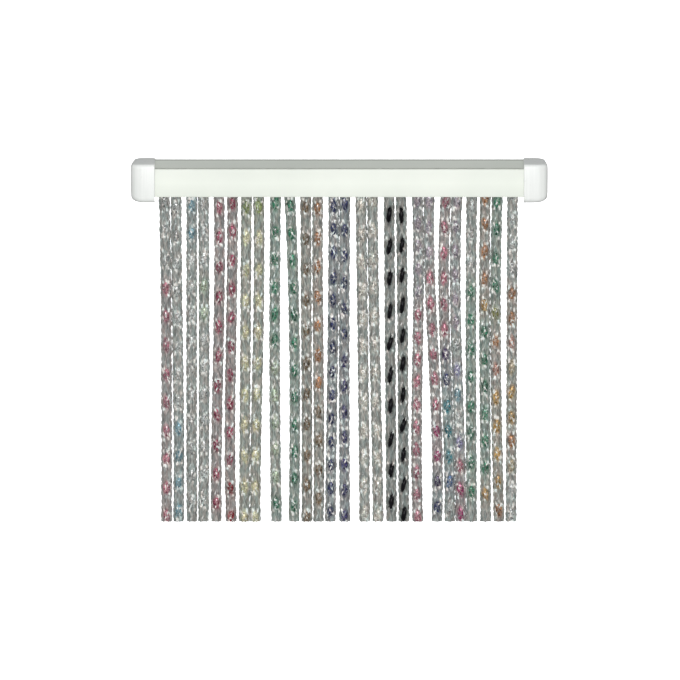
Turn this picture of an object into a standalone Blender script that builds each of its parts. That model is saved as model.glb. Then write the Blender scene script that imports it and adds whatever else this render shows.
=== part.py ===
"""A bead curtain on its rail, made as a short sample width.

A white aluminium channel rail is closed at each end by a moulded cap.
A heading strip rests on the two lips inside the channel, and 26 beaded strands
hang from it through the slot, side by side like the teeth of one comb.

Units are metres, +Z is up and the front faces -Y. The origin is the middle of the
rail's flat back, which goes against the wall.
"""

from collections import namedtuple
from math import cos, pi, radians, sin

import bmesh
import bpy

MM = 0.001

# ---- driving dimensions -------------------------------------------------------

OVERALL_LENGTH = 415 * MM
FIT_GAP = 0.3 * MM

RAIL_DEPTH = 27 * MM
RAIL_HEIGHT = 30 * MM
RAIL_WALL = 1.2 * MM
RAIL_LIP = 7.2 * MM

CAP_LENGTH = 24 * MM
CAP_DEPTH = 30 * MM
CAP_ABOVE_RAIL = 3.8 * MM
CAP_BELOW_RAIL = 4.8 * MM
CAP_END_WALL = 3 * MM
CAP_CORNER_RADIUS = 5 * MM
CAP_TOP_ROUND = 3 * MM
CAP_BOTTOM_ROUND = 5 * MM
CAP_FRONT_ROUND = 1.4 * MM
ROUND_STEPS = 4

HEADING_LENGTH = 364 * MM
HEADING_DEPTH = 16 * MM
HEADING_THICKNESS = 3 * MM

STRAND_DROP = 339 * MM
STRAND_Y = -RAIL_DEPTH / 2
STRAND_SIDES = 6
BEAD_HALF_WIDTH = 5.2 * MM
BEAD_HALF_DEPTH = 4.0 * MM
WAIST_HALF_WIDTH = 4.5 * MM
WAIST_HALF_DEPTH = 3.4 * MM

# One row for each strand, in millimetres. The first four columns are its distance
# to the right of the curtain's middle at the rail, at a third and two thirds of the
# way down and at the foot. Then the drop from the rail to its first bead, and the
# pitch from one bead to the next.
Strand = namedtuple("Strand", "rail third two_thirds foot first_bead pitch")
STRANDS = (
    Strand(-174.5, -173.0, -173.0, -173.5, 7.5, 29.6),
    Strand(-162.5, -162.0, -161.0, -161.5, 14.0, 28.5),
    Strand(-147.0, -147.5, -148.0, -148.0, 12.0, 27.9),
    Strand(-135.5, -135.0, -135.5, -136.5, 10.5, 27.9),
    Strand(-120.0, -120.0, -122.5, -123.5, 13.0, 30.7),
    Strand(-106.5, -107.5, -109.5, -108.5, 9.0, 29.5),
    Strand(-92.5, -93.5, -94.5, -95.5, 13.0, 32.2),
    Strand(-80.5, -80.5, -83.0, -84.5, 13.0, 32.2),
    Strand(-63.5, -64.5, -64.5, -63.0, 10.5, 28.1),
    Strand(-49.5, -45.5, -44.5, -45.5, 11.5, 28.3),
    Strand(-33.5, -33.0, -32.5, -32.5, 13.5, 32.0),
    Strand(-21.5, -21.5, -20.5, -21.0, 15.0, 30.0),
    Strand(-5.5, -6.0, -7.5, -9.0, 11.5, 24.4),
    Strand(5.5, 5.0, 5.0, 5.5, 10.0, 26.9),
    Strand(21.5, 23.0, 24.5, 25.5, 12.0, 28.9),
    Strand(33.0, 34.5, 37.0, 39.0, 7.5, 29.5),
    Strand(49.5, 50.5, 51.5, 52.5, 20.5, 33.1),
    Strand(61.5, 63.0, 64.0, 65.0, 21.5, 31.0),
    Strand(77.5, 79.0, 77.5, 79.0, 6.5, 23.4),
    Strand(89.5, 91.5, 97.0, 98.0, 6.5, 26.4),
    Strand(106.5, 104.5, 108.5, 111.0, 7.0, 26.4),
    Strand(117.5, 116.0, 119.5, 122.0, 8.0, 24.8),
    Strand(132.0, 131.5, 132.0, 133.0, 12.0, 29.5),
    Strand(145.5, 145.0, 146.0, 147.0, 2.5, 28.0),
    Strand(157.5, 156.0, 157.5, 160.5, 7.0, 29.0),
    Strand(172.5, 172.5, 172.5, 172.5, 0.0, 25.5),
)

RAIL_TOP = RAIL_HEIGHT / 2
RAIL_BOTTOM = -RAIL_HEIGHT / 2
LIP_TOP = RAIL_BOTTOM + RAIL_WALL
HEADING_BOTTOM = LIP_TOP + FIT_GAP

# ---- scene and materials ------------------------------------------------------

for old in list(bpy.data.objects):
    bpy.data.objects.remove(old, do_unlink=True)


def material(name, colour, roughness, metallic=0.0):
    """Makes a plain Principled finish."""
    made = bpy.data.materials.new(name)
    made.use_nodes = True
    shader = made.node_tree.nodes["Principled BSDF"]
    shader.inputs["Base Color"].default_value = (*colour, 1.0)
    shader.inputs["Roughness"].default_value = roughness
    shader.inputs["Metallic"].default_value = metallic
    return made


def add_object(name, bm, finish=None):
    """Turns a bmesh into a named object with its faces pointing out."""
    bmesh.ops.recalc_face_normals(bm, faces=bm.faces)
    mesh = bpy.data.meshes.new(name)
    bm.to_mesh(mesh)
    bm.free()
    made = bpy.data.objects.new(name, mesh)
    bpy.context.collection.objects.link(made)
    if finish:
        mesh.materials.append(finish)
    return made


def loft(bm, rings):
    """Skins a run of closed rings and closes both ends with a flat face."""
    loops = [[bm.verts.new(point) for point in ring] for ring in rings]
    for lower, upper in zip(loops, loops[1:]):
        for side in range(len(lower)):
            after = (side + 1) % len(lower)
            bm.faces.new((lower[side], lower[after], upper[after], upper[side]))
    bm.faces.new(loops[0])
    bm.faces.new(loops[-1])


def box(bm, low, high):
    """Adds a box between two opposite corners."""
    across = [(low[0], low[1]), (high[0], low[1]), (high[0], high[1]), (low[0], high[1])]
    loft(bm, [[(x, y, z) for x, y in across] for z in (low[2], high[2])])


def combine(target, name, other_bm, operation):
    """Cuts or joins a hidden helper shape with the target."""
    helper = add_object(name, other_bm)
    helper.hide_render = True
    helper.display_type = "WIRE"
    boolean = target.modifiers.new(name, "BOOLEAN")
    boolean.operation = operation
    boolean.solver = "EXACT"
    boolean.object = helper


# ---- rail ---------------------------------------------------------------------


def make_rail():
    """Extrudes the channel, open below between two inward lips."""
    inner_back = -RAIL_WALL
    inner_front = -RAIL_DEPTH + RAIL_WALL
    inner_top = RAIL_TOP - RAIL_WALL
    section = (
        (0, RAIL_TOP),
        (-RAIL_DEPTH, RAIL_TOP),
        (-RAIL_DEPTH, RAIL_BOTTOM),
        (-RAIL_DEPTH + RAIL_LIP, RAIL_BOTTOM),
        (-RAIL_DEPTH + RAIL_LIP, LIP_TOP),
        (inner_front, LIP_TOP),
        (inner_front, inner_top),
        (inner_back, inner_top),
        (inner_back, LIP_TOP),
        (-RAIL_LIP, LIP_TOP),
        (-RAIL_LIP, RAIL_BOTTOM),
        (0, RAIL_BOTTOM),
    )
    half = OVERALL_LENGTH / 2 - CAP_END_WALL - FIT_GAP
    bm = bmesh.new()
    loft(bm, [[(x, y, z) for y, z in section] for x in (-half, half)])
    add_object("rail", bm, material("white_rail", (0.86, 0.90, 0.83), 0.4))


# ---- end caps -----------------------------------------------------------------


def cap_outline(side_inset, front_inset):
    """Gives a cap's outline from above as (outward, y) pairs.

    The inner and back sides are straight, and the front outer corner is an arc.
    """
    side = CAP_LENGTH - side_inset
    front = -CAP_DEPTH + front_inset
    radius = CAP_CORNER_RADIUS
    turns = [radians(90) * step / ROUND_STEPS for step in range(ROUND_STEPS + 1)]
    corner = [
        (side - radius + radius * sin(turn), front + radius - radius * cos(turn)) for turn in turns
    ]
    return [(0, 0), (0, front), *corner, (side, 0)]


def cap_levels():
    """Gives (height, side inset, front inset) up a cap, with quarter rounds at both ends."""
    bottom = RAIL_BOTTOM - CAP_BELOW_RAIL
    top = RAIL_TOP + CAP_ABOVE_RAIL
    turns = [radians(90) * step / ROUND_STEPS for step in range(ROUND_STEPS + 1)]
    below = [
        (bottom + CAP_BOTTOM_ROUND * (1 - cos(turn)), 1 - sin(turn), CAP_BOTTOM_ROUND)
        for turn in turns
    ]
    above = [
        (top - CAP_TOP_ROUND * (1 - cos(turn)), 1 - sin(turn), CAP_TOP_ROUND)
        for turn in reversed(turns)
    ]
    return [(z, share * side, share * CAP_FRONT_ROUND) for z, share, side in below + above]


def make_cap(name, outward, finish):
    """Makes one end cap, a cup that sleeves the rail's end and is open at its back."""
    inner = outward * (OVERALL_LENGTH / 2 - CAP_LENGTH)
    rings = [
        [(inner + outward * across, y, z) for across, y in cap_outline(side, front)]
        for z, side, front in cap_levels()
    ]
    bm = bmesh.new()
    loft(bm, rings)
    cap = add_object(name, bm, finish)

    clear = 1 * MM
    ends = (inner - outward * clear, outward * (OVERALL_LENGTH / 2 - CAP_END_WALL))
    pocket = bmesh.new()
    low = (min(ends), -RAIL_DEPTH - FIT_GAP, RAIL_BOTTOM - FIT_GAP)
    high = (max(ends), clear, RAIL_TOP + FIT_GAP)
    box(pocket, low, high)
    combine(cap, name + "_pocket", pocket, "DIFFERENCE")


# ---- heading strip and strands ------------------------------------------------


def strand_x(strand, drop):
    """Gives a strand's sideways place at a drop, on the cubic through its four stations."""
    share = 3 * drop / STRAND_DROP
    stations = (strand.rail, strand.third, strand.two_thirds, strand.foot)
    place = 0.0
    for here, station in enumerate(stations):
        weight = 1.0
        for other in range(4):
            if other != here:
                weight *= (share - other) / (here - other)
        place += weight * station
    return place * MM


def strand_drops(strand):
    """Gives the drops of a strand's rings: each bead, each waist and the cut foot."""
    half_pitch = strand.pitch * MM / 2
    first = strand.first_bead * MM
    count = int((STRAND_DROP - first) / half_pitch) + 1
    drops = [first + half_pitch * step for step in range(count)]
    if first > half_pitch:
        drops.insert(0, first - half_pitch)
    drops = [drop for drop in drops if drop < STRAND_DROP - half_pitch / 3]
    return drops + [STRAND_DROP]


def strand_ring(strand, drop, z):
    """Gives one cross-section of a strand, fullest at a bead and slimmest at a waist."""
    phase = 2 * pi * (drop / MM - strand.first_bead) / strand.pitch
    fullness = (1 + cos(phase)) / 2
    half_width = WAIST_HALF_WIDTH + (BEAD_HALF_WIDTH - WAIST_HALF_WIDTH) * fullness
    half_depth = WAIST_HALF_DEPTH + (BEAD_HALF_DEPTH - WAIST_HALF_DEPTH) * fullness
    centre = strand_x(strand, max(drop, 0.0))
    turns = [2 * pi * side / STRAND_SIDES for side in range(STRAND_SIDES)]
    return [
        (centre + half_width * cos(turn), STRAND_Y + half_depth * sin(turn), z) for turn in turns
    ]


def make_strand_comb():
    """Makes the heading strip and joins the 26 hanging strands to it."""
    half = HEADING_LENGTH / 2
    low = (-half, STRAND_Y - HEADING_DEPTH / 2, HEADING_BOTTOM)
    high = (half, STRAND_Y + HEADING_DEPTH / 2, HEADING_BOTTOM + HEADING_THICKNESS)
    strip = bmesh.new()
    box(strip, low, high)
    comb = add_object("strand_comb", strip, material("clear_pvc", (0.42, 0.42, 0.40), 0.25))

    teeth = bmesh.new()
    root_z = HEADING_BOTTOM + HEADING_THICKNESS / 2
    for strand in STRANDS:
        rings = [strand_ring(strand, 0.0, root_z)]
        for drop in strand_drops(strand):
            rings.append(strand_ring(strand, drop, RAIL_BOTTOM - drop))
        loft(teeth, rings)
    combine(comb, "strand_teeth", teeth, "UNION")


make_rail()
CAP_FINISH = material("white_cap", (0.90, 0.91, 0.88), 0.35)
make_cap("end_cap_left", -1, CAP_FINISH)
make_cap("end_cap_right", 1, CAP_FINISH.copy())
make_strand_comb()
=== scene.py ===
"""A bead curtain on its rail: clear braided strands with coloured foil beads."""

from collections import namedtuple

import bmesh
import bpy
import numpy as np
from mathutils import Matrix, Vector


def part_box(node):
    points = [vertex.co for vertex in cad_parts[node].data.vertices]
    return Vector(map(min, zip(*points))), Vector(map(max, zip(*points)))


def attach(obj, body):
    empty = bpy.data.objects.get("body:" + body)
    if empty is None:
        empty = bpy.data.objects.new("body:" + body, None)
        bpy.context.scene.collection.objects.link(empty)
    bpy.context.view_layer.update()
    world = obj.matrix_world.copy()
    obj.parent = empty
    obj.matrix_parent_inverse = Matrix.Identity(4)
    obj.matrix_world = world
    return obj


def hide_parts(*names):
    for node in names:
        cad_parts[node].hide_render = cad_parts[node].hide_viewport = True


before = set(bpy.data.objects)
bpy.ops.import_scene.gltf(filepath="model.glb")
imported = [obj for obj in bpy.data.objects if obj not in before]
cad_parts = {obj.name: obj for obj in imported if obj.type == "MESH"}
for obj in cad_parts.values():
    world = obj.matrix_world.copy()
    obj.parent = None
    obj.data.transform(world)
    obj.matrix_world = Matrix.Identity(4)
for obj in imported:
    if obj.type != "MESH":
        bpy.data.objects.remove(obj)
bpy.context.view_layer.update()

# ---- Rail ---------------------------------------------------------------------
# The rail is a drawn aluminium channel, open below between two inward lips, with a
# satin white coat. Its top rises to the back and ends there in a greyer strip, and a
# narrow slot runs along the front just under the top edge. Both grey lines are partly
# shape and partly painted shade: a tint that darkens the coat there, as it also does a
# little inside the channel.

MM = 0.001
RAIL_LOW, RAIL_HIGH = (np.array(corner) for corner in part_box("rail"))
RAIL_WALL = 1.2 * MM
RAIL_LIP = 7.2 * MM
RAIL_EDGE = 0.9 * MM
RAIL_INNER_EDGE = 0.3 * MM
RAIL_SHORT_IN_CAP = 5.0 * MM
TOP_SLOPE = 2.4 * MM
BACK_EDGE = 6.0 * MM
SLOT_BELOW_TOP = 0.2 * MM
SLOT_HEIGHT = 1.1 * MM
SLOT_DEPTH = 2.4 * MM
SLOT_EDGE = 0.15 * MM
# Painted shade inside the channel, as a tint on the coat.
INSIDE_PAINTED_SHADE = 0.9
COAT_SHADES = ((0.800, 0.838, 0.757), (0.845, 0.878, 0.797))
COAT_ROUGHNESS = (0.30, 0.42)


def rounded(corners, radii, steps=5):
    """Rounds each corner of a closed outline into an arc.

    The arc is the quadratic curve from one tangent point to the next through the
    corner: (1-t)^2 A + 2t(1-t) C + t^2 B.
    """
    corners = np.array(corners, float)
    t = np.linspace(0, 1, steps)[:, None]
    points = []
    for here, radius in enumerate(radii):
        corner, before = corners[here], corners[here - 1]
        after = corners[(here + 1) % len(corners)]
        start = corner + radius * (before - corner) / np.linalg.norm(before - corner)
        end = corner + radius * (after - corner) / np.linalg.norm(after - corner)
        points.append((1 - t) ** 2 * start + 2 * t * (1 - t) * corner + t**2 * end)
    return np.concatenate(points)


def solid_mesh(name, points, faces, smooth_degrees=35):
    """Makes a closed mesh object, its faces pointing out and its edges smooth up to an angle."""
    mesh = bpy.data.meshes.new(name)
    mesh.from_pydata(points.tolist(), [], faces)
    bm = bmesh.new()
    bm.from_mesh(mesh)
    bmesh.ops.recalc_face_normals(bm, faces=bm.faces)
    bm.to_mesh(mesh)
    bm.free()
    mesh.shade_smooth()
    mesh.set_sharp_from_angle(angle=np.radians(smooth_degrees))
    made = bpy.data.objects.new(name, mesh)
    bpy.context.collection.objects.link(made)
    return made


def carried(name, outline, stations):
    """Carries a closed (y, z) outline along x through the stations and closes both ends."""
    count, rows = len(outline), len(stations)
    points = np.zeros((rows, count, 3))
    points[:, :, 0] = np.array(stations)[:, None]
    points[:, :, 1:] = outline[None]
    grid = np.arange(rows * count).reshape(rows, count)
    after = np.roll(grid, -1, axis=1)
    quads = np.stack([grid[:-1], after[:-1], after[1:], grid[1:]], axis=-1).reshape(-1, 4)
    faces = quads.tolist() + [grid[0].tolist(), grid[-1].tolist()]
    return solid_mesh(name, points.reshape(-1, 3), faces)


class Nodes:
    """Adds nodes to a material's tree and links them by name."""

    def __init__(self, name):
        self.material = bpy.data.materials.new(name)
        self.material.use_nodes = True
        self.tree = self.material.node_tree
        self.shader = self.tree.nodes["Principled BSDF"]

    def add(self, kind, **settings):
        node = self.tree.nodes.new(kind)
        for key, value in settings.items():
            if key in node.inputs:
                node.inputs[key].default_value = value
            else:
                setattr(node, key, value)
        return node

    def link(self, source, target):
        self.tree.links.new(source, target)


def grain(nodes, scale, stretch=(1, 1, 1), detail=3.0):
    """Noise on the object's own coordinates, stretched along an axis; gives its Fac socket."""
    place = nodes.add("ShaderNodeTexCoord")
    mapping = nodes.add("ShaderNodeMapping")
    mapping.inputs["Scale"].default_value = stretch
    noise = nodes.add("ShaderNodeTexNoise", Scale=scale, Detail=detail)
    nodes.link(place.outputs["Object"], mapping.inputs["Vector"])
    nodes.link(mapping.outputs["Vector"], noise.inputs["Vector"])
    return noise.outputs["Fac"]


def ramp(nodes, factor, low, high, dark, light):
    """A colour ramp from dark at low to light at high; gives its Color socket."""
    node = nodes.add("ShaderNodeValToRGB")
    node.color_ramp.elements[0].position = low
    node.color_ramp.elements[1].position = high
    node.color_ramp.elements[0].color = (*dark, 1)
    node.color_ramp.elements[1].color = (*light, 1)
    nodes.link(factor, node.inputs["Fac"])
    return node.outputs["Color"]


def spread(nodes, factor, low, high):
    """Maps a 0 to 1 factor onto low to high; gives its socket."""
    node = nodes.add("ShaderNodeMapRange")
    node.inputs["To Min"].default_value = low
    node.inputs["To Max"].default_value = high
    nodes.link(factor, node.inputs["Value"])
    return node.outputs["Result"]


def multiplied(nodes, first, second):
    """The product of two colours, each channel at most 1; gives its socket."""
    node = nodes.add("ShaderNodeMix", data_type="RGBA", blend_type="MULTIPLY", clamp_result=True)
    node.inputs["Factor"].default_value = 1.0
    nodes.link(first, node.inputs["A"])
    nodes.link(second, node.inputs["B"])
    return node.outputs["Result"]


def bump(nodes, factor, strength, distance):
    """Feeds a height to the shader's normal."""
    node = nodes.add("ShaderNodeBump", Strength=strength, Distance=distance)
    nodes.link(factor, node.inputs["Height"])
    nodes.link(node.outputs["Normal"], nodes.shader.inputs["Normal"])


def set_tint(mesh, colours):
    """Stores a colour for every point of the mesh, as its tint."""
    layer = mesh.attributes.new("tint", "FLOAT_COLOR", "POINT")
    layer.data.foreach_set("color", np.column_stack([colours, np.ones(len(colours))]).ravel())


rail_back, rail_front = RAIL_HIGH[1], RAIL_LOW[1]
rail_top, rail_bottom = RAIL_HIGH[2], RAIL_LOW[2]
slot_top = rail_top - SLOT_BELOW_TOP
slot_bottom = slot_top - SLOT_HEIGHT
back_top = rail_top + TOP_SLOPE
edge_start = rail_back - BACK_EDGE
edge_top = back_top - TOP_SLOPE * BACK_EDGE / (rail_back - rail_front)
# Each corner of the section: its y, its z, its rounding and the tint that multiplies the
# coat's colour there, which paints shade in the slot, along the back edge and, a little,
# inside the channel.
rail_corners = [
    (rail_back, back_top, SLOT_EDGE, 0.72),
    (edge_start + BACK_EDGE / 3, edge_top + (back_top - edge_top) / 3, SLOT_EDGE, 0.76),
    (edge_start, edge_top, SLOT_EDGE, 1.0),
    (rail_front + BACK_EDGE, rail_top + (back_top - edge_top), SLOT_EDGE, 0.99),
    (rail_front, rail_top, SLOT_EDGE, 0.84),
    (rail_front, slot_top, SLOT_EDGE, 0.68),
    (rail_front + SLOT_DEPTH, slot_top, SLOT_EDGE, 0.50),
    (rail_front + SLOT_DEPTH, slot_bottom, SLOT_EDGE, 0.50),
    (rail_front, slot_bottom, SLOT_EDGE, 0.88),
    (rail_front, (slot_bottom + rail_bottom) / 2, SLOT_EDGE, 1.0),
    (rail_front, rail_bottom, RAIL_EDGE, 0.98),
    (rail_front + RAIL_LIP, rail_bottom, RAIL_INNER_EDGE, INSIDE_PAINTED_SHADE),
    (rail_front + RAIL_LIP, rail_bottom + RAIL_WALL, RAIL_INNER_EDGE, INSIDE_PAINTED_SHADE),
    (rail_front + RAIL_WALL, rail_bottom + RAIL_WALL, RAIL_INNER_EDGE, INSIDE_PAINTED_SHADE),
    (rail_front + RAIL_WALL, slot_bottom - RAIL_WALL, RAIL_INNER_EDGE, INSIDE_PAINTED_SHADE),
    (rail_front + RAIL_WALL + SLOT_DEPTH, slot_bottom - RAIL_WALL, RAIL_INNER_EDGE, INSIDE_PAINTED_SHADE),
    (rail_front + RAIL_WALL + SLOT_DEPTH, rail_top - RAIL_WALL, RAIL_INNER_EDGE, INSIDE_PAINTED_SHADE),
    (rail_back - RAIL_WALL, rail_top - RAIL_WALL, RAIL_INNER_EDGE, INSIDE_PAINTED_SHADE),
    (rail_back - RAIL_WALL, rail_bottom + RAIL_WALL, RAIL_INNER_EDGE, INSIDE_PAINTED_SHADE),
    (rail_back - RAIL_LIP, rail_bottom + RAIL_WALL, RAIL_INNER_EDGE, INSIDE_PAINTED_SHADE),
    (rail_back - RAIL_LIP, rail_bottom, RAIL_INNER_EDGE, INSIDE_PAINTED_SHADE),
    (rail_back, rail_bottom, RAIL_EDGE, 1.0),
    (rail_back, rail_top, SLOT_EDGE, 1.0),
]
rail_outline = rounded(
    [corner[:2] for corner in rail_corners], [corner[2] for corner in rail_corners]
)
rail_ends = [RAIL_LOW[0] + RAIL_SHORT_IN_CAP, RAIL_HIGH[0] - RAIL_SHORT_IN_CAP]
rail = carried("rail_channel", rail_outline, rail_ends)
arc_points = len(rail_outline) // len(rail_corners)
# The tints paint shade on the coat in the slot, along the back edge and inside the channel.
rail_painted_shade = np.repeat([corner[3] for corner in rail_corners], arc_points)
set_tint(rail.data, np.tile(rail_painted_shade, len(rail_ends))[:, None] * np.ones(3))

coat = Nodes("rail_white_coat")
coat_colour = ramp(coat, grain(coat, 14.0), 0.35, 0.65, *COAT_SHADES)
# The tint attribute brings in the painted shade of the rail's section.
coat_tint = coat.add("ShaderNodeAttribute", attribute_name="tint")
coat_colour = multiplied(coat, coat_colour, coat_tint.outputs["Color"])
coat.link(coat_colour, coat.shader.inputs["Base Color"])
coat.link(spread(coat, grain(coat, 160.0), *COAT_ROUGHNESS), coat.shader.inputs["Roughness"])
bump(coat, grain(coat, 900.0, detail=2.0), strength=0.12, distance=0.2 * MM)
rail.data.materials.append(coat.material)
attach(rail, "root")
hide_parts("rail")

# ---- End caps -----------------------------------------------------------------
# Each cap is a moulded white cup, open at the back, that sleeves the rail's end and
# stands a little proud of it in front, above and below. Its outer corners are rounded,
# and its end leans in towards the back.

CAP_UPPER_EDGE = 3.4 * MM
CAP_LOWER_EDGE = 6.0 * MM
CAP_END_ROUND = 12.0 * MM
CAP_TOP_INSET = 3.0 * MM
CAP_FRONT_INSET = 10.0 * MM
CAP_BOTTOM_INSET = 5.0 * MM
CAP_END_WALL = 7.5 * MM
CAP_MOUTH_EDGE = 0.6 * MM
CAP_MOUTH_SHARE = 0.06
CAP_CLEAR = 0.3 * MM
CAP_BELOW = 1.3 * MM
CAP_END_TAPER = 2.2 * MM
CAP_ARC_STEPS = 8
CAP_SMOOTH_DEGREES = 32
PLASTIC_SHADES = ((0.845, 0.868, 0.835), (0.885, 0.90, 0.87))
PLASTIC_STREAKS = ((0.955,) * 3, (1.0,) * 3)
PLASTIC_ROUGHNESS = (0.24, 0.36)


def cap_section(x, front, top, bottom, upper_edge, lower_edge, rise=0):
    """One U of a cap's wall at x: along its top, down its front and back under it.

    Both front corners are quarter circles, corner + edge (cos a, sin a). The top goes
    up by the rise from there to the back.
    """
    turn = np.linspace(0, np.pi / 2, CAP_ARC_STEPS)
    upper = np.stack([-np.sin(turn), np.cos(turn)], 1) * upper_edge
    lower = np.stack([-np.cos(turn), -np.sin(turn)], 1) * lower_edge
    upper += (front + upper_edge, top - upper_edge)
    lower += (front + lower_edge, bottom + lower_edge)
    across = np.concatenate([[[0.0, top + rise]], upper, lower, [[0.0, bottom]]])
    return np.column_stack([np.full(len(across), x), across])


def cap_mesh(name, low, high, outward):
    """A cup with an open back: outer wall, mouth, pocket wall, both end faces, and the back.

    Over its last part the outer wall draws in along a quarter ellipse, with its own
    inset at the top, the front and the bottom. Behind the front's inset the end also
    leans in, in proportion to how far back and how near the end a point is.
    """
    front, bottom, top = low[1], low[2] - CAP_BELOW, high[2]
    inner = min(abs(low[0]), abs(high[0]))
    outer = max(abs(low[0]), abs(high[0]))
    turn = np.linspace(0, np.pi / 2, CAP_ARC_STEPS)
    draw = [(inner, CAP_MOUTH_SHARE), (inner + CAP_MOUTH_EDGE, 0.0)]
    draw += [
        (outer - CAP_END_ROUND * (1 - np.sin(angle)), 1 - np.cos(angle)) for angle in turn
    ]
    shell = [
        cap_section(
            x,
            front + share * CAP_FRONT_INSET,
            top - share * CAP_TOP_INSET,
            bottom + share * CAP_BOTTOM_INSET,
            CAP_UPPER_EDGE,
            CAP_LOWER_EDGE,
        )
        for x, share in draw
    ]
    pocket = [
        cap_section(
            x,
            RAIL_LOW[1] - CAP_CLEAR,
            rail_top + CAP_CLEAR,
            rail_bottom - CAP_CLEAR,
            CAP_CLEAR,
            CAP_CLEAR,
            TOP_SLOPE,
        )
        for x in (inner, outer - CAP_END_WALL)
    ]
    shell = np.array(shell)
    near_end = np.clip((shell[..., 0] - outer + CAP_END_ROUND) / CAP_END_ROUND, 0, 1)
    behind = np.clip(1 - shell[..., 1] / (front + CAP_FRONT_INSET), 0, 1)
    shell[..., 0] -= CAP_END_TAPER * near_end * behind
    points = np.concatenate(pocket[::-1] + list(shell))
    points[:, 0] *= outward
    rows, count = len(pocket) + len(shell), len(shell[0])
    grid = np.arange(rows * count).reshape(rows, count)
    quads = np.stack([grid[:-1, :-1], grid[:-1, 1:], grid[1:, 1:], grid[1:, :-1]], axis=-1)
    faces = quads.reshape(-1, 4).tolist()
    faces.append(grid[0].tolist())
    faces.append(grid[-1].tolist())
    faces.append(grid[:, 0].tolist() + grid[::-1, -1].tolist())
    return solid_mesh(name, points, faces, CAP_SMOOTH_DEGREES)


plastic = Nodes("cap_white_plastic")
plastic_colour = multiplied(
    plastic,
    ramp(plastic, grain(plastic, 30.0), 0.3, 0.7, *PLASTIC_SHADES),
    ramp(plastic, grain(plastic, 420.0, (1, 1, 0.05)), 0.35, 0.65, *PLASTIC_STREAKS),
)
plastic.link(plastic_colour, plastic.shader.inputs["Base Color"])
plastic.link(
    spread(plastic, grain(plastic, 220.0), *PLASTIC_ROUGHNESS), plastic.shader.inputs["Roughness"]
)
plastic.shader.inputs["IOR"].default_value = 1.47
bump(plastic, grain(plastic, 1500.0, detail=2.0), strength=0.08, distance=0.1 * MM)

for side, outward in (("left", -1), ("right", 1)):
    cap_low, cap_high = (np.array(corner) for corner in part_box("end_cap_" + side))
    cap = cap_mesh("end_cap_moulding_" + side, cap_low, cap_high, outward)
    cap.data.materials.append(plastic.material)
    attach(cap, "root")
    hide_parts("end_cap_" + side)

# ---- Heading strip ------------------------------------------------------------
# A plain clear strip lies on the channel's two lips and carries the strands.
# Only its underside can be seen, through the slot.

STRIP_LENGTH = 364 * MM
STRIP_DEPTH = 16 * MM
STRIP_THICKNESS = 3 * MM
STRIP_EDGE = 0.5 * MM
STRIP_CLEAR = 0.3 * MM
STRIP_SHADES = ((0.34, 0.35, 0.33), (0.46, 0.47, 0.45))
STRAND_Y = (rail_front + rail_back) / 2

strip_bottom = rail_bottom + RAIL_WALL + STRIP_CLEAR
strip_top = strip_bottom + STRIP_THICKNESS
strip_front, strip_back = STRAND_Y - STRIP_DEPTH / 2, STRAND_Y + STRIP_DEPTH / 2
strip_outline = rounded(
    [
        (strip_back, strip_top),
        (strip_front, strip_top),
        (strip_front, strip_bottom),
        (strip_back, strip_bottom),
    ],
    [STRIP_EDGE] * 4,
)
strip = carried("heading_strip", strip_outline, [-STRIP_LENGTH / 2, STRIP_LENGTH / 2])
strip_plastic = Nodes("strip_clear_plastic")
strip_colour = ramp(strip_plastic, grain(strip_plastic, 40.0), 0.3, 0.7, *STRIP_SHADES)
strip_plastic.link(strip_colour, strip_plastic.shader.inputs["Base Color"])
strip_plastic.shader.inputs["Roughness"].default_value = 0.3
strip.data.materials.append(strip_plastic.material)
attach(strip, "root")
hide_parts("strand_comb")
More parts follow.
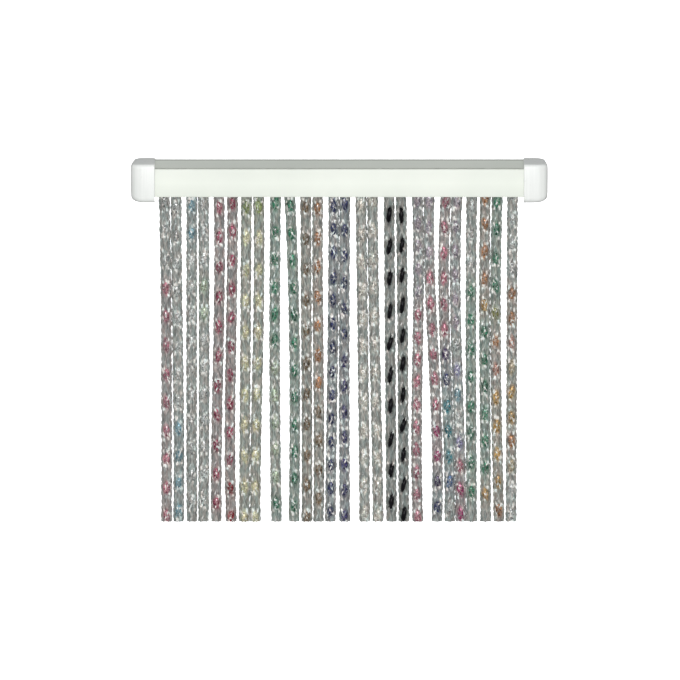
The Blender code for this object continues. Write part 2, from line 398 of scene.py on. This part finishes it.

# ---- Strands ------------------------------------------------------------------
# Each strand is ten flat clear ribbons braided round a twisted core, five winding
# one way and five the other. They swell out round every bead, take up some of its
# colour, and carry painted glints, white spots where they bend sharply over its two ends.

# One row for each strand, in millimetres. The first four columns are its distance
# to the right of the curtain's middle at the rail, at a third and two thirds of the
# way down and at the foot. Then the drop from the rail to its first bead, the pitch
# from one bead to the next, and the beads' colours from the top down, each number
# being the drop at which one colour gives way to the next.
Strand = namedtuple("Strand", "rail third two_thirds foot first_bead pitch colours")
STRANDS = (
    Strand(-174.5, -173.0, -173.0, -173.5, 7.5, 29.6, "silver 68 rose"),
    Strand(-162.5, -162.0, -161.0, -161.5, 14.0, 28.5, "silver 232 ice"),
    Strand(-147.0, -147.5, -148.0, -148.0, 12.0, 27.9, "ice 60 silver"),
    Strand(-135.5, -135.0, -135.5, -136.5, 10.5, 27.9, "silver 80 sage 130 silver"),
    Strand(-120.0, -120.0, -122.5, -123.5, 13.0, 30.7, "crimson"),
    Strand(-106.5, -107.5, -109.5, -108.5, 9.0, 29.5, "crimson 290 red"),
    Strand(-92.5, -93.5, -94.5, -95.5, 13.0, 32.2, "lime 30 cream"),
    Strand(-80.5, -80.5, -83.0, -84.5, 13.0, 32.2, "lime 20 cream"),
    Strand(-63.5, -64.5, -64.5, -63.0, 10.5, 28.1, "green 152 sage 295 green"),
    Strand(-49.5, -45.5, -44.5, -45.5, 11.5, 28.3, "green"),
    Strand(-33.5, -33.0, -32.5, -32.5, 13.5, 32.0, "bronze"),
    Strand(-21.5, -21.5, -20.5, -21.0, 15.0, 30.0, "copper 200 bronze"),
    Strand(-5.5, -6.0, -7.5, -9.0, 11.5, 24.4, "navy"),
    Strand(5.5, 5.0, 5.0, 5.5, 10.0, 26.9, "navy 170 indigo"),
    Strand(21.5, 23.0, 24.5, 25.5, 12.0, 28.9, "pearl"),
    Strand(33.0, 34.5, 37.0, 39.0, 7.5, 29.5, "pearl"),
    Strand(49.5, 50.5, 51.5, 52.5, 20.5, 33.1, "black"),
    Strand(61.5, 63.0, 64.0, 65.0, 21.5, 31.0, "black"),
    Strand(77.5, 79.0, 77.5, 79.0, 6.5, 23.4, "mauve 120 rose"),
    Strand(89.5, 91.5, 97.0, 98.0, 6.5, 26.4, "mauve 84 rose 235 magenta 282 violet 312 navy"),
    Strand(
        106.5, 104.5, 108.5, 111.0, 7.0, 26.4,
        "rose 152 violet 178 navy 203 teal 285 steel 305 silver",
    ),
    Strand(
        117.5, 116.0, 119.5, 122.0, 8.0, 24.8,
        "mauve 145 silver 168 lavender 192 ice 216 silver 240 lavender 266 rose 292 magenta",
    ),
    Strand(132.0, 131.5, 132.0, 133.0, 12.0, 29.5, "silver 95 green"),
    Strand(
        145.5, 145.0, 146.0, 147.0, 2.5, 28.0, "copper 100 gold 128 green 292 gold 318 copper"
    ),
    Strand(
        157.5, 156.0, 157.5, 160.5, 7.0, 29.0,
        "green 100 olive 134 copper 170 rosegold 196 gold 306 copper",
    ),
    Strand(
        172.5, 172.5, 172.5, 172.5, 0.0, 25.5,
        "silver 92 copper 144 rosegold 168 champagne 190 gold 245 copper 272 champagne 302 silver",
    ),
)
BEAD_COLOURS = {
    "silver": (0.50, 0.51, 0.50),
    "pearl": (0.74, 0.70, 0.62),
    "sage": (0.42, 0.50, 0.37),
    "ice": (0.20, 0.36, 0.43),
    "lime": (0.32, 0.39, 0.15),
    "cream": (0.70, 0.67, 0.42),
    "crimson": (0.34, 0.06, 0.11),
    "red": (0.30, 0.02, 0.03),
    "rose": (0.47, 0.17, 0.225),
    "magenta": (0.38, 0.05, 0.16),
    "mauve": (0.40, 0.34, 0.40),
    "lavender": (0.31, 0.29, 0.46),
    "green": (0.035, 0.19, 0.105),
    "teal": (0.05, 0.20, 0.235),
    "steel": (0.07, 0.14, 0.29),
    "navy": (0.022, 0.030, 0.105),
    "indigo": (0.035, 0.030, 0.125),
    "violet": (0.06, 0.028, 0.11),
    "bronze": (0.20, 0.135, 0.075),
    "copper": (0.40, 0.185, 0.08),
    "gold": (0.48, 0.29, 0.09),
    "olive": (0.19, 0.19, 0.065),
    "rosegold": (0.52, 0.27, 0.21),
    "champagne": (0.55, 0.46, 0.31),
    "black": (0.003, 0.003, 0.004),
}

# Half sizes of a bead, its lean sideways for each unit up, how crinkled it is, and how
# strongly its colour and the glints painted beside it show on the braid round it.
BeadKind = namedtuple("BeadKind", "half_width half_depth half_length lean crinkle halo whitening")
FOIL_BEAD = BeadKind(3.4 * MM, 3.0 * MM, 8.0 * MM, 0.0, 0.07, 0.68, 1.0)
BLACK_BEAD = BeadKind(2.7 * MM, 5.2 * MM, 9.4 * MM, 0.13, 0.014, 1.0, 0.6)
BEAD_ABOVE_FOOT = 3 * MM

# How far one bead strays from the next: its drop in millimetres, its lean, and its
# width, length and shade as shares.
DROP_STRAY = 0.4
LEAN_STRAY = 0.05
WIDTH_RANGE = (0.93, 1.07)
LENGTH_RANGE = (0.92, 1.06)
SHADE_RANGE = (0.8, 1.2)

STRAND_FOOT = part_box("strand_comb")[0][2]
STRAND_DROP = rail_bottom - STRAND_FOOT
STRAND_HALF_WIDTH = 5.95 * MM
STRAND_HALF_DEPTH = 4.3 * MM
WAIST_WIDTH_SHARE = 0.90
WAIST_DEPTH_SHARE = 0.74
RIBBONS_EACH_WAY = 5
RIBBON_HALF_WIDTH = 0.92 * MM
RIBBON_AT_BEAD = 0.72
RIBBON_HALF_THICKNESS = 0.30 * MM
RIBBON_FLAT = 0.70
WEAVE_HEIGHT = 0.36 * MM
ROWS_A_PITCH = 4
STEP = 1.45 * MM
CORE_SIDES = 14
CORE_WIDTH_SHARE = 0.80
CORE_DEPTH_SHARE = 0.42
CORE_RIDGE = 0.07
CORE_TURN = 60 * MM
PHASE_STRAY = 0.10
BRAID_SHARP_DEGREES = 38
FRONT = -np.pi / 2

# The colours painted on the braid's points, with painted glints among them. The glint
# white is over 1 so that it stays white under the streaks. Sizes and places of the
# painted spots and specks are in millimetres, aside and up from the bead's middle.
CLEAR_GREY = np.array((0.352, 0.372, 0.362))
PAINTED_GLINT_WHITE = np.array((1.35, 1.35, 1.33))
TINGE = 0.13
TINGE_BRIGHTNESS = 0.42
TINGE_LEAST_HUE = 0.25
TINGE_REACH = 1.5
HALO_REACH, HALO_SOFTNESS = 1.2, 0.35
HALO_PATCHES = (0.35, 1.3)
HALO_SHADES = (0.5, 1.5)
SPOT_ASIDE, SPOT_ASIDE_STRAY = 2.4, 0.6
SPOT_UP, SPOT_UP_STRAY = 7.6, 1.2
SPOT_LEAN = 0.35
SPOT_WIDTH, SPOT_LENGTH = 0.95, 1.5
SPOT_REACH, SPOT_SOFTNESS = 1.4, 0.6
SPOT_STRENGTHS, SPOT_ODDS = (0.0, 0.4, 1.0), (0.3, 0.2, 0.5)
SPECKS = 5
SPECK_ASIDE, SPECK_UP = 3.6, 7.5
SPECK_WIDTH, SPECK_LENGTH = 0.65, 0.8
SPECK_REACH, SPECK_SOFTNESS = 1.5, 0.5

Bead = namedtuple("Bead", "drop colour kind half_width half_length lean shade")
rng = np.random.default_rng(11)


def strand_centre(strand, drop):
    """Sideways place at a drop: the cubic through the strand's four stations."""
    share = np.clip(3 * drop / STRAND_DROP, 0, 3)
    stations = (strand.rail, strand.third, strand.two_thirds, strand.foot)
    place = np.zeros_like(share)
    for here, station in enumerate(stations):
        weight = np.ones_like(share)
        for other in range(4):
            if other != here:
                weight = weight * (share - other) / (here - other)
        place += weight * station
    return place * MM


def bead_nearness(strand, drop):
    """1 at the middle of a bead and 0 halfway between two: (1 + cos(2 pi n)) / 2."""
    return (1 + np.cos(2 * np.pi * (drop / MM - strand.first_bead) / strand.pitch)) / 2


def colour_name(strand, drop):
    """The colour of the run that a drop in metres falls in."""
    words = strand.colours.split()
    ends = [float(word) * MM for word in words[1::2]]
    return words[0::2][int(np.searchsorted(ends, drop))]


def beads_of(strand):
    """The strand's beads from the top down, each with its own small irregularities."""
    beads = []
    for drop in np.arange(strand.first_bead * MM, STRAND_DROP - BEAD_ABOVE_FOOT, strand.pitch * MM):
        colour = colour_name(strand, drop)
        kind = BLACK_BEAD if colour == "black" else FOIL_BEAD
        beads.append(
            Bead(
                drop=drop + rng.normal(0, DROP_STRAY) * MM,
                colour=colour,
                kind=kind,
                half_width=kind.half_width * rng.uniform(*WIDTH_RANGE),
                half_length=kind.half_length * rng.uniform(*LENGTH_RANGE),
                lean=kind.lean + rng.normal(0, LEAN_STRAY),
                shade=rng.uniform(*SHADE_RANGE),
            )
        )
    return beads


def ribbons(paths, outs, half_widths, half_thickness):
    """Flat ribbons round centre lines, as points and quads, with both ends closed.

    paths and outs are (ribbon, ring, 3) arrays: the centre line, and the unit direction
    of each ring's thin way N. The six points of a ring are C + u w B + v t N, with
    B = T x N: flat faces out and in, between -RIBBON_FLAT and RIBBON_FLAT of the half
    width w, and a pointed edge on either side.
    """
    along = np.gradient(paths, axis=1)
    along /= np.linalg.norm(along, axis=-1, keepdims=True)
    side = np.cross(along, outs)
    side /= np.linalg.norm(side, axis=-1, keepdims=True)
    u = np.array([1, RIBBON_FLAT, -RIBBON_FLAT, -1, -RIBBON_FLAT, RIBBON_FLAT])
    v = np.array([0, 1, 1, 0, -1, -1])
    across = half_widths[None, :, None] * u[None, None]
    ring = (
        paths[:, :, None]
        + across[..., None] * side[:, :, None]
        + half_thickness * v[None, None, :, None] * outs[:, :, None]
    )
    count, rings = paths.shape[:2]
    grid = np.arange(count * rings * len(u)).reshape(count, rings, len(u))
    after = np.roll(grid, -1, axis=2)
    quads = np.stack([grid[:, :-1], after[:, :-1], after[:, 1:], grid[:, 1:]], axis=-1)
    ends = grid[:, 0, ::-1].tolist() + grid[:, -1].tolist()
    return ring.reshape(-1, 3), quads.reshape(-1, 4).tolist() + ends


def braid_lines(strand, drop, phase):
    """Centre lines and outward directions of a strand's ten ribbons.

    A ribbon's angle is a0 + k d one way and a0 - k d the other, so that they cross
    ROWS_A_PITCH times for each bead. Its distance out is the braid's half width less
    its own room, plus or minus WEAVE_HEIGHT cos(pi row), which takes it over one
    crossing and under the next.
    """
    rows = ROWS_A_PITCH * (drop / MM - strand.first_bead) / strand.pitch
    swing = np.pi * rows / RIBBONS_EACH_WAY
    starts = 2 * np.pi * np.arange(RIBBONS_EACH_WAY) / RIBBONS_EACH_WAY
    ways = np.repeat([1.0, -1.0], RIBBONS_EACH_WAY)
    starts = np.tile(starts, 2) + FRONT + phase
    angle = starts[:, None] + ways[:, None] * swing[None]
    weave = ways[:, None] * WEAVE_HEIGHT * np.cos(np.pi * rows)[None]
    near = bead_nearness(strand, drop)
    room = WEAVE_HEIGHT + RIBBON_HALF_THICKNESS
    wide = STRAND_HALF_WIDTH * (WAIST_WIDTH_SHARE + (1 - WAIST_WIDTH_SHARE) * near) - room + weave
    deep = STRAND_HALF_DEPTH * (WAIST_DEPTH_SHARE + (1 - WAIST_DEPTH_SHARE) * near) - room + weave
    centre = strand_centre(strand, drop)
    lines = np.stack(
        [
            centre + wide * np.cos(angle),
            STRAND_Y + deep * np.sin(angle),
            np.broadcast_to(rail_bottom - drop, angle.shape),
        ],
        axis=-1,
    )
    outs = np.stack([np.cos(angle) / wide, np.sin(angle) / deep, np.zeros_like(angle)], axis=-1)
    return lines, outs / np.linalg.norm(outs, axis=-1, keepdims=True)


def core_mesh(strand, drop, phase):
    """The core's points and faces: oval rings that swell with the beads, ridged in a twist.

    The radius is 1 + CORE_RIDGE cos(CORE_SIDES / 2 (a - 2 pi d / CORE_TURN)) times the
    oval's, which makes every second corner a ridge.
    """
    turn = np.linspace(0, 2 * np.pi, CORE_SIDES, endpoint=False)[None]
    near = bead_nearness(strand, drop)[:, None]
    twist = 2 * np.pi * drop[:, None] / CORE_TURN + phase
    ridge = 1 + CORE_RIDGE * np.cos(CORE_SIDES / 2 * (turn - twist))
    wide = STRAND_HALF_WIDTH * CORE_WIDTH_SHARE
    wide = wide * (WAIST_WIDTH_SHARE + (1 - WAIST_WIDTH_SHARE) * near)
    x = strand_centre(strand, drop)[:, None] + wide * ridge * np.cos(turn)
    y = STRAND_Y + STRAND_HALF_DEPTH * CORE_DEPTH_SHARE * ridge * np.sin(turn)
    z = np.broadcast_to((rail_bottom - drop)[:, None], x.shape)
    grid = np.arange(x.size).reshape(x.shape)
    after = np.roll(grid, -1, axis=1)
    quads = np.stack([grid[:-1], after[:-1], after[1:], grid[1:]], axis=-1).reshape(-1, 4)
    faces = quads.tolist() + [grid[0, ::-1].tolist(), grid[-1].tolist()]
    return np.stack([x, y, z], axis=-1).reshape(-1, 3), faces


def smooth(value):
    """The soft step 3 v^2 - 2 v^3 of a value held between 0 and 1."""
    held = np.clip(value, 0, 1)
    return held**2 * (3 - 2 * held)


def painted(colours, share, target):
    """The colours moved by a share of the way, one for each point, to a target colour."""
    return colours + share[:, None] * (target - colours)


def braid_colours(strand, beads, points):
    """Each point's colour: clear grey, with the bead's colour over it, then painted glints.

    The braid beside a bead takes on a tinge of its hue, and the bead itself shows
    inside its own leaning ellipse. Over that come four painted glints for each bead,
    white spots left and right of its top and bottom and leaning to its points, and on
    foil a few painted specks of highlight.
    """
    across = points[:, 0] - strand_centre(strand, rail_bottom - points[:, 2])
    colours = np.tile(CLEAR_GREY, (len(points), 1))
    for bead in beads:
        height = points[:, 2] - (rail_bottom - bead.drop)
        reach = np.hypot(
            (across - bead.lean * height) / bead.half_width, height / bead.half_length
        )
        hue = np.array(BEAD_COLOURS[bead.colour])
        foil = bead.kind is FOIL_BEAD
        beside = TINGE * smooth(TINGE_REACH - np.abs(height) / (strand.pitch / 2 * MM))
        tinge = TINGE_BRIGHTNESS * hue / max(hue.max(), TINGE_LEAST_HUE)
        colours = painted(colours, beside, tinge)
        share = bead.kind.halo * smooth((HALO_REACH - reach) / HALO_SOFTNESS)
        patchy = rng.uniform(*HALO_PATCHES, len(points)) if foil else 1
        shade = np.outer(bead.shade * rng.uniform(*HALO_SHADES, len(points)), hue)
        colours = painted(colours, share * patchy, shade)
        # Four painted glints: white spots left and right of the bead's top and bottom.
        for side in (-1, 1):
            for end in (-1, 1):
                x = across - side * rng.normal(SPOT_ASIDE, SPOT_ASIDE_STRAY) * MM
                z = height - end * rng.normal(SPOT_UP, SPOT_UP_STRAY) * MM
                x = x - side * end * SPOT_LEAN * z
                strength = rng.choice(SPOT_STRENGTHS, p=SPOT_ODDS) * bead.kind.whitening
                reach = np.hypot(x / (SPOT_WIDTH * MM), z / (SPOT_LENGTH * MM))
                spot = strength * smooth((SPOT_REACH - reach) / SPOT_SOFTNESS)
                colours = painted(colours, spot, PAINTED_GLINT_WHITE)
        # Painted highlights: a few white specks over a foil bead.
        for speck in range(SPECKS if foil else 0):
            x = across - rng.uniform(-SPECK_ASIDE, SPECK_ASIDE) * MM
            z = height - rng.uniform(-SPECK_UP, SPECK_UP) * MM
            reach = np.hypot(x / (SPECK_WIDTH * MM), z / (SPECK_LENGTH * MM))
            spot = smooth((SPECK_REACH - reach) / SPECK_SOFTNESS)
            colours = painted(colours, spot, PAINTED_GLINT_WHITE)
    return colours


def plain_piece(name, points, faces, colours, sharp_degrees):
    """Makes an object of points and faces that already point outwards, and tints it."""
    mesh = bpy.data.meshes.new(name)
    mesh.from_pydata(points.tolist(), [], faces)
    mesh.shade_smooth()
    mesh.set_sharp_from_angle(angle=np.radians(sharp_degrees))
    set_tint(mesh, colours)
    made = bpy.data.objects.new(name, mesh)
    bpy.context.collection.objects.link(made)
    return made


def braided_strand(number, strand, beads):
    """Makes one strand's ribbons and core as a single mesh of closed tubes."""
    top = rail_bottom - strip_bottom
    drop = np.linspace(top, STRAND_DROP, int((STRAND_DROP - top) / STEP))
    phase = rng.normal(0, PHASE_STRAY)
    lines, outs = braid_lines(strand, drop, phase)
    narrow = 1 - (1 - RIBBON_AT_BEAD) * bead_nearness(strand, drop)
    points, faces = ribbons(lines, outs, RIBBON_HALF_WIDTH * narrow, RIBBON_HALF_THICKNESS)
    core, core_faces = core_mesh(strand, np.linspace(top, STRAND_DROP, len(drop) // 2), phase)
    faces += [[corner + len(points) for corner in face] for face in core_faces]
    points = np.concatenate([points, core])
    points[:, 2] = np.maximum(points[:, 2], STRAND_FOOT)
    colours = braid_colours(strand, beads, points)
    return plain_piece(f"strand_{number:02d}_braid", points, faces, colours, BRAID_SHARP_DEGREES)


CLEAR_STREAKS = ((0.55, 0.55, 0.55), (1.40, 1.40, 1.37))
CLEAR_WARM_TO_COOL = ((1.08, 0.99, 0.95), (0.92, 1.0, 0.99))
CLEAR_ROUGHNESS = (0.10, 0.22)

clear = Nodes("strand_clear_pvc")
# The tint attribute carries the braid's colours and its painted glints.
clear_tint = clear.add("ShaderNodeAttribute", attribute_name="tint")
streaks = ramp(clear, grain(clear, 620.0, (1, 1, 0.14)), 0.36, 0.66, *CLEAR_STREAKS)
warmth = ramp(clear, grain(clear, 330.0, (1, 1, 0.3)), 0.4, 0.6, *CLEAR_WARM_TO_COOL)
clear_colour = multiplied(clear, multiplied(clear, clear_tint.outputs["Color"], streaks), warmth)
clear.link(clear_colour, clear.shader.inputs["Base Color"])
clear.link(spread(clear, grain(clear, 400.0), *CLEAR_ROUGHNESS), clear.shader.inputs["Roughness"])
clear.shader.inputs["IOR"].default_value = 1.53
clear.shader.inputs["Specular IOR Level"].default_value = 0.35
clear.shader.inputs["Transmission Weight"].default_value = 0.2

beads_by_strand = [beads_of(strand) for strand in STRANDS]
for number, strand in enumerate(STRANDS, 1):
    braid = braided_strand(number, strand, beads_by_strand[number - 1])
    braid.data.materials.append(clear.material)
    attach(braid, "root")
    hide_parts("strand_comb")

# ---- Beads --------------------------------------------------------------------
# Each bead is a pointed oval of crinkled metal foil wound round the core, with fine
# ribs round it. The light and dark of its ribs and blots and its pale sparkles are
# painted reflections and highlights in its colour. Those of the black pair are smooth
# black plastic.

BEAD_SIDES = 10
BEAD_RINGS = 8
BEAD_TIP = 0.998
BEAD_FULLNESS = 0.6
BEAD_SHARP_DEGREES = 180
FOIL_RIBS = ((0.40,) * 3, (1.4,) * 3)
FOIL_BLOTS = ((0.50,) * 3, (1.3,) * 3)
FOIL_PALE = (0.80, 0.79, 0.78, 1)
FOIL_PALE_SHARES = ((0.0,) * 3, (0.8,) * 3)
FOIL_ROUGHNESS = (0.20, 0.40)
JET_SHADES = ((0.002, 0.002, 0.003), (0.006, 0.006, 0.008))
JET_ROUGHNESS = (0.08, 0.22)


def bead_points(strand, bead):
    """One bead: rings of radius (1 - t^2)^BEAD_FULLNESS from tip to tip, a little crinkled."""
    t = np.linspace(-BEAD_TIP, BEAD_TIP, BEAD_RINGS)[:, None]
    turn = np.linspace(0, 2 * np.pi, BEAD_SIDES, endpoint=False)[None]
    crinkled = rng.normal(1, bead.kind.crinkle, (BEAD_RINGS, BEAD_SIDES))
    swell = (1 - t**2) ** BEAD_FULLNESS * crinkled
    height = t * bead.half_length
    centre = strand_centre(strand, np.array([bead.drop]))[0]
    x = centre + bead.half_width * swell * np.cos(turn) + bead.lean * height
    y = STRAND_Y + bead.kind.half_depth * swell * np.sin(turn)
    z = np.maximum(rail_bottom - bead.drop + height + np.zeros_like(turn), STRAND_FOOT)
    return np.stack([x, y, z], axis=-1).reshape(-1, 3)


def bead_faces(first):
    """The quads of one bead and its two closing faces, counted on from first."""
    grid = first + np.arange(BEAD_RINGS * BEAD_SIDES).reshape(BEAD_RINGS, BEAD_SIDES)
    after = np.roll(grid, -1, axis=1)
    quads = np.stack([grid[:-1], after[:-1], after[1:], grid[1:]], axis=-1).reshape(-1, 4)
    return quads.tolist() + [grid[0, ::-1].tolist(), grid[-1].tolist()]


def strand_beads(number, strand, beads):
    """Makes one strand's beads as a single mesh of closed ovals, each with its own tint."""
    each = BEAD_RINGS * BEAD_SIDES
    points = np.concatenate([bead_points(strand, bead) for bead in beads])
    faces = [face for place in range(len(beads)) for face in bead_faces(place * each)]
    shades = [bead.shade * np.array(BEAD_COLOURS[bead.colour]) for bead in beads]
    tints = np.repeat(shades, each, axis=0)
    return plain_piece(f"strand_{number:02d}_beads", points, faces, tints, BEAD_SHARP_DEGREES)


foil = Nodes("bead_foil")
foil_tint = foil.add("ShaderNodeAttribute", attribute_name="tint")
# Painted reflections: light and dark ribs and blots in the foil's colour.
ribs = ramp(foil, grain(foil, 760.0, (0.35, 0.35, 1.5)), 0.40, 0.60, *FOIL_RIBS)
blots = ramp(foil, grain(foil, 420.0), 0.40, 0.58, *FOIL_BLOTS)
# Painted highlights: pale sparkles mixed into the foil's colour.
painted_sparkle_shares = ramp(foil, grain(foil, 520.0, (1, 1, 0.6)), 0.58, 0.66, *FOIL_PALE_SHARES)
foil_painted_reflections = multiplied(foil, multiplied(foil, foil_tint.outputs["Color"], ribs), blots)
pale = foil.add("ShaderNodeMix", data_type="RGBA")
pale.inputs["B"].default_value = FOIL_PALE
foil.link(painted_sparkle_shares, pale.inputs["Factor"])
foil.link(foil_painted_reflections, pale.inputs["A"])
foil.link(pale.outputs["Result"], foil.shader.inputs["Base Color"])
foil.shader.inputs["Metallic"].default_value = 0.35
foil.shader.inputs["Coat Weight"].default_value = 0.7
foil.shader.inputs["Coat Roughness"].default_value = 0.12
foil.link(spread(foil, grain(foil, 600.0), *FOIL_ROUGHNESS), foil.shader.inputs["Roughness"])
bump(foil, grain(foil, 900.0, (0.6, 0.6, 1.5)), strength=0.7, distance=0.5 * MM)

jet = Nodes("bead_black_plastic")
jet_colour = ramp(jet, grain(jet, 200.0), 0.3, 0.7, *JET_SHADES)
jet.link(jet_colour, jet.shader.inputs["Base Color"])
jet.link(spread(jet, grain(jet, 500.0), *JET_ROUGHNESS), jet.shader.inputs["Roughness"])
jet.shader.inputs["IOR"].default_value = 1.5
jet.shader.inputs["Specular IOR Level"].default_value = 0.14

for number, strand in enumerate(STRANDS, 1):
    beads = strand_beads(number, strand, beads_by_strand[number - 1])
    black = strand.colours == "black"
    beads.data.materials.append(jet.material if black else foil.material)
    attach(beads, "root")
    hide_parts("strand_comb")

# ---- Studio -------------------------------------------------------------------
# A plain white floor below the strands with a white wall round it. One large lamp
# stands in front, one nearly as strong behind and below, and two small ones at the
# sides put glints on the foil. The sky is brighter in front and above than behind.

FLOOR_Z = -0.75
STUDIO_RADIUS = 12.0
STUDIO_HEIGHT = 6.0
STUDIO_SIDES = 64
SKY_LEVEL = 0.335
SKY_LEAN = (0, -0.16, 0.26)
CAMERA_ELEVATION = np.radians(15)
CAMERA_DISTANCE = 10.0
VIEW_WIDTH = 0.68
SENSOR = 36.0
CAMERA_REACH = 100.0
AIM = (0.0007, STRAND_Y, -0.1656)

around = np.linspace(0, 2 * np.pi, STUDIO_SIDES, endpoint=False)
wall_foot = STUDIO_RADIUS * np.stack([np.cos(around), np.sin(around)], 1)
studio_points = np.concatenate(
    [
        np.column_stack([wall_foot, np.full(STUDIO_SIDES, FLOOR_Z)]),
        np.column_stack([wall_foot, np.full(STUDIO_SIDES, STUDIO_HEIGHT)]),
    ]
)
foot_row = np.arange(STUDIO_SIDES)
next_row = np.roll(foot_row, -1)
wall_faces = np.stack(
    [next_row, foot_row, foot_row + STUDIO_SIDES, next_row + STUDIO_SIDES], axis=1
)
floor_mesh = bpy.data.meshes.new("studio_floor")
floor_mesh.from_pydata(studio_points.tolist(), [], [foot_row.tolist()] + wall_faces.tolist())
floor = bpy.data.objects.new("studio_floor", floor_mesh)
bpy.context.collection.objects.link(floor)
floor_paint = Nodes("studio_white_paint")
floor_paint.shader.inputs["Base Color"].default_value = (0.9, 0.9, 0.9, 1)
floor_paint.shader.inputs["Roughness"].default_value = 0.9
floor_paint.shader.inputs["Emission Color"].default_value = (1, 1, 1, 1)
floor_paint.shader.inputs["Emission Strength"].default_value = 1.0
floor_mesh.materials.append(floor_paint.material)
floor.visible_diffuse = floor.visible_glossy = floor.visible_transmission = False
floor.visible_shadow = False


def lamp(name, azimuth, elevation, distance, size, power):
    """A square area lamp aimed at the curtain, in degrees, metres and watts; 0, 0 is in front."""
    azimuth, elevation = np.radians(azimuth), np.radians(elevation)
    way = np.array(
        [
            np.sin(azimuth) * np.cos(elevation),
            -np.cos(azimuth) * np.cos(elevation),
            np.sin(elevation),
        ]
    )
    data = bpy.data.lights.new(name, "AREA")
    data.shape = "SQUARE"
    data.size = size
    data.energy = power
    made = bpy.data.objects.new(name, data)
    made.location = np.array(AIM) + distance * way
    made.rotation_euler = (np.pi / 2 - elevation, 0, azimuth)
    made.visible_camera = False
    bpy.context.collection.objects.link(made)


lamp("key", azimuth=0, elevation=8, distance=4.0, size=2.0, power=95)
lamp("back", azimuth=180, elevation=-14, distance=4.0, size=2.0, power=90)
for side in (-1, 1):
    lamp(f"glint_{side}", azimuth=side * 62, elevation=6, distance=1.6, size=0.22, power=1.5)

world = bpy.data.worlds.new("studio")
bpy.context.scene.world = world
world.use_nodes = True
sky = world.node_tree.nodes["Background"]
sky.inputs["Color"].default_value = (0.97, 0.985, 1.0, 1)
compass = world.node_tree.nodes.new("ShaderNodeTexCoord")
lean = world.node_tree.nodes.new("ShaderNodeVectorMath")
lean.operation = "DOT_PRODUCT"
lean.inputs[1].default_value = SKY_LEAN
level = world.node_tree.nodes.new("ShaderNodeMath")
level.operation = "ADD"
level.inputs[1].default_value = SKY_LEVEL
world.node_tree.links.new(compass.outputs["Generated"], lean.inputs[0])
world.node_tree.links.new(lean.outputs["Value"], level.inputs[0])
world.node_tree.links.new(level.outputs["Value"], sky.inputs["Strength"])
bpy.context.scene.view_settings.view_transform = "Standard"

lens = bpy.data.cameras.new("camera")
lens.sensor_width = SENSOR
lens.lens = SENSOR * CAMERA_DISTANCE / VIEW_WIDTH
lens.clip_end = CAMERA_REACH
camera = bpy.data.objects.new("camera", lens)
camera.location = np.array(AIM) + CAMERA_DISTANCE * np.array(
    [0, -np.cos(CAMERA_ELEVATION), np.sin(CAMERA_ELEVATION)]
)
camera.rotation_euler = (np.pi / 2 - CAMERA_ELEVATION, 0, 0)
bpy.context.collection.objects.link(camera)
bpy.context.scene.camera = camera
